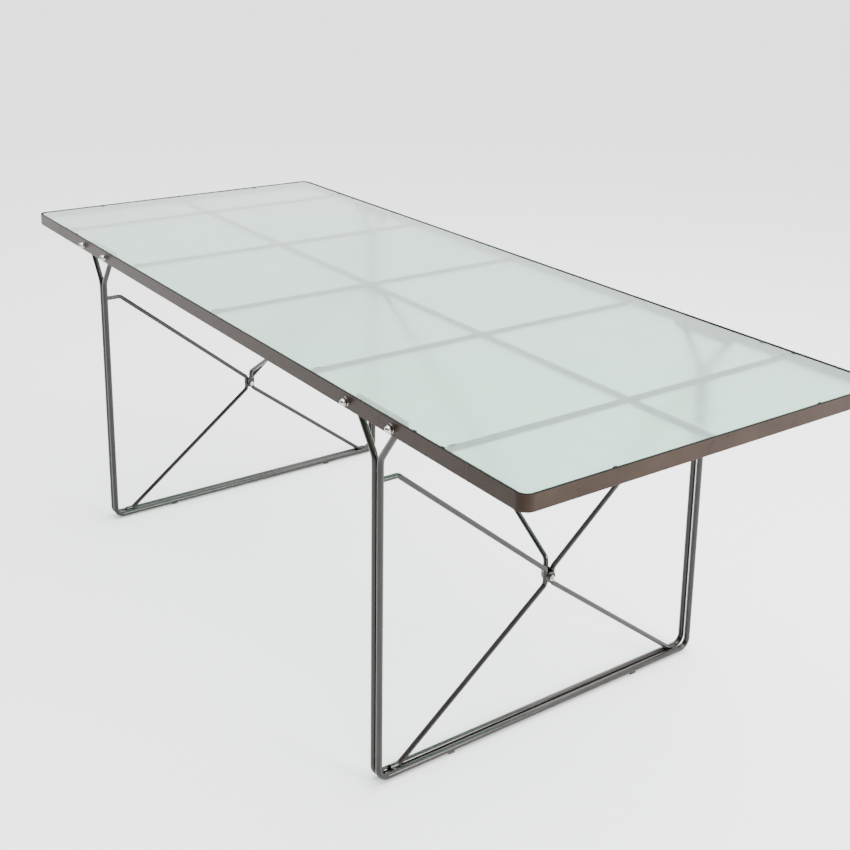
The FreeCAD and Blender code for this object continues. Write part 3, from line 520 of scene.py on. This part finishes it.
    def metal(self, finish: MetalFinish) -> bpy.types.Material:
        """Make plated metal with dulled patches and fine marks.

        Args:
            finish: The metal.

        Returns:
            The material.
        """
        material, shader = self._new_material(finish.name)
        tree = material.node_tree
        shader.inputs["Metallic"].default_value = 1.0
        drift = self._add_drift(tree, finish.base, finish.tarnish, TARNISH_SCALE, TARNISH_AMOUNT,
                                finish.roughness)
        tree.links.new(drift.outputs["Colour"], shader.inputs["Base Color"])
        tree.links.new(drift.outputs["Roughness"], shader.inputs["Roughness"])
        self._add_bump(tree, shader, finish.scratch_scale, finish.scratch_height)
        return material

    def moulded(self, finish: MouldedFinish) -> bpy.types.Material:
        """Make rubber or plastic with grain and a little dust.

        Args:
            finish: The moulding.

        Returns:
            The material.
        """
        material, shader = self._new_material(finish.name)
        tree = material.node_tree
        drift = self._add_drift(tree, finish.base, finish.dust, DUST_SCALE, finish.dust_amount,
                                finish.roughness)
        tree.links.new(drift.outputs["Colour"], shader.inputs["Base Color"])
        tree.links.new(drift.outputs["Roughness"], shader.inputs["Roughness"])
        self._add_bump(tree, shader, finish.grain_scale, finish.grain_height)
        return material

    def _edge_mask(self, tree: bpy.types.NodeTree, half: Vector, width: float) -> bpy.types.NodeSocket:
        """Make a mask that rises to 1 at the outline of a rectangle about the origin.

        Args:
            tree: The material's node tree.
            half: Half of the rectangle's length and width.
            width: Width of the strip in metres.

        Returns:
            The mask.
        """
        place = tree.nodes.new("ShaderNodeTexCoord")
        split = tree.nodes.new("ShaderNodeSeparateXYZ")
        tree.links.new(place.outputs["Object"], split.inputs["Vector"])
        masks = []
        for axis, reach in (("X", half.x), ("Y", half.y)):
            distance = tree.nodes.new("ShaderNodeMath")
            distance.operation = "ABSOLUTE"
            tree.links.new(split.outputs[axis], distance.inputs[0])
            ramp = tree.nodes.new("ShaderNodeMapRange")
            ramp.inputs["From Min"].default_value = reach - width
            ramp.inputs["From Max"].default_value = reach
            tree.links.new(distance.outputs[0], ramp.inputs["Value"])
            masks.append(ramp.outputs["Result"])
        either = tree.nodes.new("ShaderNodeMath")
        either.operation = "MAXIMUM"
        for number, mask in enumerate(masks):
            tree.links.new(mask, either.inputs[number])
        return either.outputs[0]

    def glass(self, finish: GlassFinish, high: Vector) -> bpy.types.Material:
        """Make pane glass: polished above, finely ground below, greener at its edge.

        Args:
            finish: The glass.
            high: The pane's highest corner.

        Returns:
            The material.
        """
        material, shader = self._new_material(finish.name)
        tree = material.node_tree
        nodes, links = tree.nodes, tree.links
        shader.inputs["Transmission Weight"].default_value = finish.transmission
        shader.inputs["IOR"].default_value = finish.index
        polished, ground = finish.face_roughness
        drift = self._add_drift(tree, finish.face, finish.face, PANE_DRIFT_SCALE, 0.0,
                                (ground - PANE_ROUGHNESS_SPREAD, ground + PANE_ROUGHNESS_SPREAD))
        edge = self._edge_mask(tree, high, finish.edge_width)
        colour = self._mix(tree, "RGBA", edge, drift.outputs["Colour"], finish.edge)
        top = self._height_mask(tree, high.z - PANE_TOP_START, high.z - PANE_TOP_END)
        roughness = self._mix(tree, "FLOAT", top, drift.outputs["Roughness"], polished)
        links.new(colour, shader.inputs["Base Color"])
        links.new(roughness, shader.inputs["Roughness"])
        self._add_bump(tree, shader, finish.grain_scale, finish.grain_height)
        rays = nodes.new("ShaderNodeLightPath")
        unseen = nodes.new("ShaderNodeMath")
        unseen.operation = "MAXIMUM"
        links.new(rays.outputs["Is Shadow Ray"], unseen.inputs[0])
        links.new(rays.outputs["Is Diffuse Ray"], unseen.inputs[1])
        clear = nodes.new("ShaderNodeBsdfTransparent")
        clear.inputs["Color"].default_value = finish.shadow_tint
        choose = nodes.new("ShaderNodeMixShader")
        links.new(unseen.outputs[0], choose.inputs["Fac"])
        links.new(shader.outputs["BSDF"], choose.inputs[1])
        links.new(clear.outputs["BSDF"], choose.inputs[2])
        links.new(choose.outputs["Shader"], nodes["Material Output"].inputs["Surface"])
        return material


def deselect_all() -> None:
    """Leave nothing selected, so that an operator acts on the new piece alone."""
    bpy.ops.object.select_all(action="DESELECT")


def dress(names: Iterable[str], material: bpy.types.Material) -> None:
    """Give CAD nodes a finish.

    Args:
        names: Node names.
        material: The finish.
    """
    for name in names:
        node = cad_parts[name]
        for slot in node.material_slots:
            slot.material = material
        LOG.info("dressed %s in %s", name, material.name)


@dataclass
class WeldBead:
    """A run of weld metal with the ripples that the torch leaves.

    Args:
        length: Length of the run in metres.
        width: Width of the run in metres.
        ripple: How far each ripple swells, as a share of the width.
        sides: Number of faces round the run.
        seed: Start of the small random differences.
        pitch: Distance from ripple to ripple in metres.
        end_share: Width of the run at its two ends, as a share of the width.
        fewest_rings: Fewest rings that a short run is made of.
        fullness: How soon the run reaches its full width; higher is sooner.
        unevenness: Largest random difference of a ring, as a share of the width.
    """

    length: float
    width: float
    ripple: float = 0.14
    sides: int = 10
    seed: int = 1
    pitch: float = 0.0016
    end_share: float = 0.45
    fewest_rings: int = 4
    fullness: int = 8
    unevenness: float = 0.05

    def build(self, name: str) -> bpy.types.Object:
        """Extrude the run ring by ring along X, centred on the origin.

        Args:
            name: Object name.

        Returns:
            The bead, with its ends closed.
        """
        chance = random.Random(self.seed)
        rings = max(self.fewest_rings, round(self.length / self.pitch))
        step = self.length / rings
        deselect_all()
        bpy.ops.mesh.primitive_circle_add(
            vertices=self.sides, radius=self.width / 2 * self.end_share, fill_type="NGON",
            location=(-self.length / 2, 0.0, 0.0), rotation=(0.0, math.pi / 2, 0.0))
        bead = bpy.context.object
        bead.name = name
        bpy.ops.object.transform_apply(location=True, rotation=True, scale=True)
        bpy.ops.object.mode_set(mode="EDIT")
        bpy.ops.mesh.select_all(action="SELECT")
        size = self.end_share
        for ring in range(1, rings + 1):
            along = ring / rings
            swell = math.sqrt(max(0.0, 1.0 - (2.0 * along - 1.0) ** self.fullness))
            wanted = self.end_share + (1.0 - self.end_share) * swell
            wanted *= 1.0 + self.ripple * (ring % 2) + chance.uniform(-self.unevenness, self.unevenness)
            bpy.ops.mesh.extrude_region_move(TRANSFORM_OT_translate={"value": (step, 0.0, 0.0)})
            centre = (-self.length / 2 + ring * step, 0.0, 0.0)
            share = wanted / size
            bpy.ops.transform.resize(value=(1.0, share, share), center_override=centre)
            size = wanted
        bpy.ops.object.mode_set(mode="OBJECT")
        smooth = bead.modifiers.new("smooth_ripples", "SUBSURF")
        smooth.levels = 1
        smooth.render_levels = 1
        bpy.ops.object.modifier_apply(modifier=smooth.name)
        bpy.ops.object.shade_smooth()
        return bead


def place_copies(master: bpy.types.Object, places: Iterable[Matrix], name: str) -> bpy.types.Object:
    """Join copies of a master, each in its own place, into one piece at the origin.

    Args:
        master: Piece to copy; it is removed afterwards.
        places: One matrix for each copy.
        name: Name of the joined piece.

    Returns:
        The joined piece.
    """
    copies = []
    for place in places:
        copy = master.copy()
        copy.data = master.data.copy()
        copy.data.transform(place)
        bpy.context.scene.collection.objects.link(copy)
        copies.append(copy)
    bpy.data.objects.remove(master)
    deselect_all()
    for copy in copies:
        copy.select_set(True)
    bpy.context.view_layer.objects.active = copies[0]
    if len(copies) > 1:
        bpy.ops.object.join()
    joined = bpy.context.view_layer.objects.active
    joined.name = name
    joined.data.name = name
    return joined


@dataclass
class TopFrame:
    """The rim, its bars, the stay plate and the rubber that holds the pane.

    Args:
        bench: Where the materials are made.
        bars: Names of the bars under the pane.
        weld_width: Width of the welds at the bars' ends.
    """

    bench: ShaderBench
    bars: tuple[str, ...] = ("cross_bar_1", "cross_bar_2", "cross_bar_3", "cross_bar_4", "cross_bar_5")
    weld_width: float = 0.0035

    def build(self, weld: bpy.types.Material) -> list[bpy.types.Object]:
        """Dress the top and weld its bars to the rim.

        Args:
            weld: Finish of the weld metal.

        Returns:
            The pieces that were made.
        """
        dress(("top_rim",), self.bench.paint(RIM_PAINT))
        dress((*self.bars, "centre_bar", "stay_plate"), self.bench.paint(BAR_PAINT))
        dress(("glass_pads", "edge_bumpers"), self.bench.moulded(RUBBER))
        return [self._weld_cross_bars(weld), self._weld_centre_bar(weld)]

    def _weld_cross_bars(self, weld: bpy.types.Material) -> bpy.types.Object:
        """Run a bead under each end of each cross bar, along the rim.

        Returns:
            The beads as one piece.
        """
        low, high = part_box(self.bars[0])
        master = WeldBead(high.x - low.x, self.weld_width, seed=11).build("cross_bar_bead")
        places = []
        for bar in self.bars:
            low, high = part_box(bar)
            middle = (low.x + high.x) / 2
            places += [Matrix.Translation((middle, reach, low.z)) for reach in (low.y, high.y)]
        return finish_piece(place_copies(master, places, "cross_bar_welds"), weld)

    def _weld_centre_bar(self, weld: bpy.types.Material) -> bpy.types.Object:
        """Run a bead on both sides of the centre bar where it meets each cross bar.

        Returns:
            The beads as one piece.
        """
        centre_low, centre_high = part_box("centre_bar")
        low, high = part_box(self.bars[0])
        master = WeldBead(high.x - low.x, self.weld_width, seed=12).build("centre_bar_bead")
        places = []
        for bar in self.bars:
            low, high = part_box(bar)
            middle = (low.x + high.x) / 2
            places += [Matrix.Translation((middle, side, centre_high.z))
                       for side in (centre_low.y, centre_high.y)]
        return finish_piece(place_copies(master, places, "centre_bar_welds"), weld)


def finish_piece(piece: bpy.types.Object, material: bpy.types.Material,
                 body: Body = Body.FRAME) -> bpy.types.Object:
    """Give a new piece its finish and the body that carries it.

    Args:
        piece: The new piece.
        material: Its finish.
        body: The body it rides on.

    Returns:
        The same piece.
    """
    piece.data.materials.clear()
    piece.data.materials.append(material)
    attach(piece, body.value)
    LOG.info("made %s", piece.name)
    return piece


@dataclass
class GlassPane:
    """The loose pane that lies in the rim.

    Args:
        bench: Where the materials are made.
    """

    bench: ShaderBench

    def build(self) -> None:
        """Dress the pane."""
        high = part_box("glass_pane")[1]
        dress(("glass_pane",), self.bench.glass(PANE_GLASS, high))


@dataclass
class Trestle:
    """One trestle of bent rod with its welds and fasteners.

    Args:
        side: Which trestle this is.
        materials: Finishes by their names.
        leg_weld: Length and width of the beads where a brace meets a leg.
        floor_weld: Length and width of the beads where a brace lies on the floor rods.
        arm_weld: Length and width of the beads where a spreader meets an arm.
        leg_inset: From a brace's upper end in to its beads.
        foot_inset: From a brace's upper end in to the middle of its foot's beads.
        arm_inset: From a spreader's end in to its beads.
        side_reach: From a brace's middle out to its beads, as a share of its radius.
        groove_rise: Height of the foot's beads over the brace's lowest point, as a share of its radius.
        arm_sink: How far a spreader's beads hang below it, as a share of their width.
        plain_parts: The parts in rod paint.
    """

    side: Side
    materials: dict[str, bpy.types.Material]
    leg_weld: tuple[float, float] = (0.009, 0.0036)
    floor_weld: tuple[float, float] = (0.010, 0.0034)
    arm_weld: tuple[float, float] = (0.010, 0.0034)
    leg_inset: float = 0.0008
    foot_inset: float = 0.0300
    arm_inset: float = 0.0115
    side_reach: float = 1.06
    groove_rise: float = 0.68
    arm_sink: float = 0.2
    plain_parts: tuple[str, ...] = ("outer_rod", "inner_rod", "front_brace", "back_brace",
                                    "front_spreader", "back_spreader", "rail_collars", "stay",
                                    "crossing_washers")

    def _node(self, part: str) -> str:
        """Return the full node name of one of this trestle's parts."""
        return f"{self.side.label}_{part}"

    def build(self) -> list[bpy.types.Object]:
        """Dress the trestle and weld its rods.

        Returns:
            The pieces that were made.
        """
        dress((self._node(part) for part in self.plain_parts), self.materials["rod"])
        dress((self._node("crossing_bolt"),), self.materials["zinc"])
        dress((self._node(part) for part in ("cap_nuts", "rail_washers", "crossing_nut")),
              self.materials["chrome"])
        dress((self._node("glides"),), self.materials["plastic"])
        return [self._weld_legs(), self._weld_floor_rods(), self._weld_spreaders()]

    def _middle(self) -> float:
        """Return the trestle's middle along X."""
        low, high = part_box(self._node("front_brace"))
        return (low.x + high.x) / 2

    def _brace_radius(self) -> float:
        """Return the radius of a brace's round bar."""
        low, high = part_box(self._node("front_brace"))
        return (high.x - low.x) / 2

    def _beside_braces(self, inset: float, corner: int, rise: float, turn: Matrix) -> list[Matrix]:
        """Find the places for beads on each side of both braces.

        Args:
            inset: From a brace's outer end in to the beads, along Y.
            corner: The corner of the brace's box that the height starts from, 0 low and 1 high.
            rise: Height of the beads over that corner, below it when negative.
            turn: How the beads are turned.

        Returns:
            One matrix for each bead.
        """
        places = []
        for face, reach, inwards in (("front_brace", 0, 1), ("back_brace", 1, -1)):
            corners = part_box(self._node(face))
            for edge in (-1, 1):
                across = self._middle() + edge * self._brace_radius() * self.side_reach
                place = (across, corners[reach].y + inwards * inset, corners[corner].z + rise)
                places.append(Matrix.Translation(place) @ turn)
        return places

    def _weld_legs(self) -> bpy.types.Object:
        """Run an upright bead each side of a brace's upper end, where it butts on the legs.

        Returns:
            The beads as one piece.
        """
        master = WeldBead(*self.leg_weld, seed=21).build("leg_bead")
        upright = Matrix.Rotation(math.pi / 2, 4, "Y")
        places = self._beside_braces(self.leg_inset, 1, -self._brace_radius(), upright)
        return finish_piece(place_copies(master, places, self._node("leg_welds")),
                            self.materials["weld"])

    def _weld_floor_rods(self) -> bpy.types.Object:
        """Run a bead each side of a brace's foot, in the grooves over the two floor rods.

        Returns:
            The beads as one piece.
        """
        master = WeldBead(*self.floor_weld, seed=22).build("floor_bead")
        along_y = Matrix.Rotation(math.pi / 2, 4, "Z")
        rise = self._brace_radius() * self.groove_rise
        places = self._beside_braces(self.foot_inset, 0, rise, along_y)
        return finish_piece(place_copies(master, places, self._node("floor_welds")),
                            self.materials["weld"])

    def _weld_spreaders(self) -> bpy.types.Object:
        """Run a bead under each end of the spreaders, where they lie on the arms.

        Returns:
            The beads as one piece.
        """
        master = WeldBead(*self.arm_weld, seed=23).build("arm_bead")
        places = []
        for face, outer in (("front_spreader", 0), ("back_spreader", 1)):
            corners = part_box(self._node(face))
            low, high = corners
            for edge in (-1, 1):
                across = self._middle() + edge * ((high.x - low.x) / 2 - self.arm_inset)
                place = (across, corners[outer].y, low.z - self.arm_weld[1] * self.arm_sink)
                places.append(Matrix.Translation(place))
        return finish_piece(place_copies(master, places, self._node("spreader_welds")),
                            self.materials["weld"])


@dataclass(frozen=True)
class SoftLight:
    """A square soft light that faces a target.

    Args:
        name: Name of the light.
        place: Where it hangs, in metres.
        target: The point that it faces, in metres.
        size: Length of its side in metres.
        watts: Its power.
    """

    name: str
    place: tuple[float, float, float]
    target: tuple[float, float, float]
    size: float
    watts: float

    def hang(self) -> None:
        """Add the light to the scene."""
        data = bpy.data.lights.new(self.name, "AREA")
        data.size = self.size
        data.energy = self.watts
        light = bpy.data.objects.new(self.name, data)
        light.location = self.place
        towards = Vector(self.target) - Vector(self.place)
        light.rotation_euler = towards.to_track_quat("-Z", "Y").to_euler()
        bpy.context.scene.collection.objects.link(light)


@dataclass
class Studio:
    """A pale floor, soft lights and the camera.

    Args:
        floor_radius: Reach of the floor in metres.
        floor_sides: Number of sides of the floor's outline.
        floor_colour: Colour of the floor.
        floor_roughness: How matt the floor is.
        floor_shine: Strength of the floor's own reflections.
        sky_strength: Strength of the light from the dim and from the bright side of the sky.
        sky_fade: Where the sky's change starts and ends, from -1 for behind to 1 for the brightest spot.
        sky_towards: Where the sky is brightest.
        lights: The soft lights, one overhead and one beside the table.
        lens: Focal length in millimetres.
        shift: Upward shift of the frame, in frame widths.
        camera_place: Where the camera stands, in metres.
        camera_turn: Which way it looks, as XYZ angles in degrees.
        sensor_width: Width of the camera's sensor in millimetres.
    """

    floor_radius: float = 30.0
    floor_sides: int = 96
    floor_colour: Colour = (0.80, 0.80, 0.805, 1.0)
    floor_roughness: float = 0.6
    floor_shine: float = 0.3
    sky_strength: tuple[float, float] = (0.25, 3.6)
    sky_fade: tuple[float, float] = (-0.45, 0.35)
    sky_towards: tuple[float, float, float] = (-0.25, 0.85, 0.45)
    lights: tuple[SoftLight, ...] = (
        SoftLight("overhead_light", (0.3, 0.8, 3.4), (0.0, 0.0, 0.4), 3.2, 230.0),
        SoftLight("side_light", (4.2, 1.4, 1.9), (0.0, 0.0, 0.5), 1.4, 260.0),
    )
    lens: float = 53.70
    shift: float = -0.2090
    camera_place: tuple[float, float, float] = (2.2171, -1.4276, 1.4754)
    camera_turn: tuple[float, float, float] = (75.32, -0.805, 55.09)
    sensor_width: float = 36.0

    def build(self) -> None:
        """Set up the floor, the lights and the camera."""
        self._lay_floor()
        self._light_sky()
        for light in self.lights:
            light.hang()
        self._stand_camera()

    def _lay_floor(self) -> None:
        """Lay a pale matt floor."""
        deselect_all()
        bpy.ops.mesh.primitive_circle_add(
            vertices=self.floor_sides, radius=self.floor_radius, fill_type="NGON")
        floor = bpy.context.object
        floor.name = "studio_floor"
        material = bpy.data.materials.new("studio_floor_paint")
        material.use_nodes = True
        shader = material.node_tree.nodes["Principled BSDF"]
        shader.inputs["Base Color"].default_value = self.floor_colour
        shader.inputs["Roughness"].default_value = self.floor_roughness
        shader.inputs["Specular IOR Level"].default_value = self.floor_shine
        floor.data.materials.append(material)

    def _light_sky(self) -> None:
        """Light the scene from all round, more from the far side than from the near one."""
        world = bpy.data.worlds.new("studio_sky")
        world.use_nodes = True
        nodes, links = world.node_tree.nodes, world.node_tree.links
        background = nodes["Background"]
        background.inputs["Color"].default_value = (1.0, 1.0, 1.0, 1.0)
        place = nodes.new("ShaderNodeTexCoord")
        towards = nodes.new("ShaderNodeVectorMath")
        towards.operation = "DOT_PRODUCT"
        towards.inputs[1].default_value = self.sky_towards
        links.new(place.outputs["Generated"], towards.inputs[0])
        fade = nodes.new("ShaderNodeMapRange")
        fade.interpolation_type = "SMOOTHSTEP"
        fade.inputs["From Min"].default_value = self.sky_fade[0]
        fade.inputs["From Max"].default_value = self.sky_fade[1]
        fade.inputs["To Min"].default_value = self.sky_strength[0]
        fade.inputs["To Max"].default_value = self.sky_strength[1]
        links.new(towards.outputs["Value"], fade.inputs["Value"])
        links.new(fade.outputs["Result"], background.inputs["Strength"])
        bpy.context.scene.world = world

    def _stand_camera(self) -> None:
        """Stand the camera where it sees the table's front and right end from above."""
        data = bpy.data.cameras.new("studio_camera")
        data.sensor_width = self.sensor_width
        data.lens = self.lens
        data.shift_y = self.shift
        camera = bpy.data.objects.new("studio_camera", data)
        camera.location = self.camera_place
        camera.rotation_euler = Euler([math.radians(angle) for angle in self.camera_turn])
        bpy.context.scene.collection.objects.link(camera)
        bpy.context.scene.camera = camera


def write_sizes() -> None:
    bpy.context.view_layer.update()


def main() -> None:
    """Build each sub-assembly in turn and log how many pieces it made."""
    logging.basicConfig(level=logging.INFO, format="%(name)s: %(message)s")
    bench = ShaderBench()
    materials = {
        "rod": bench.paint(ROD_PAINT),
        "weld": bench.paint(ROD_PAINT),
        "chrome": bench.metal(CHROME),
        "zinc": bench.metal(ZINC),
        "plastic": bench.moulded(GLIDE_PLASTIC),
    }
    made = TopFrame(bench).build(materials["weld"])
    GlassPane(bench).build()
    dress(("stay_screws",), materials["zinc"])
    for side in Side:
        made += Trestle(side, materials).build()
    LOG.info("made %d pieces", len(made))
    Studio().build()
    write_sizes()


if __name__ == "__main__":
    main()
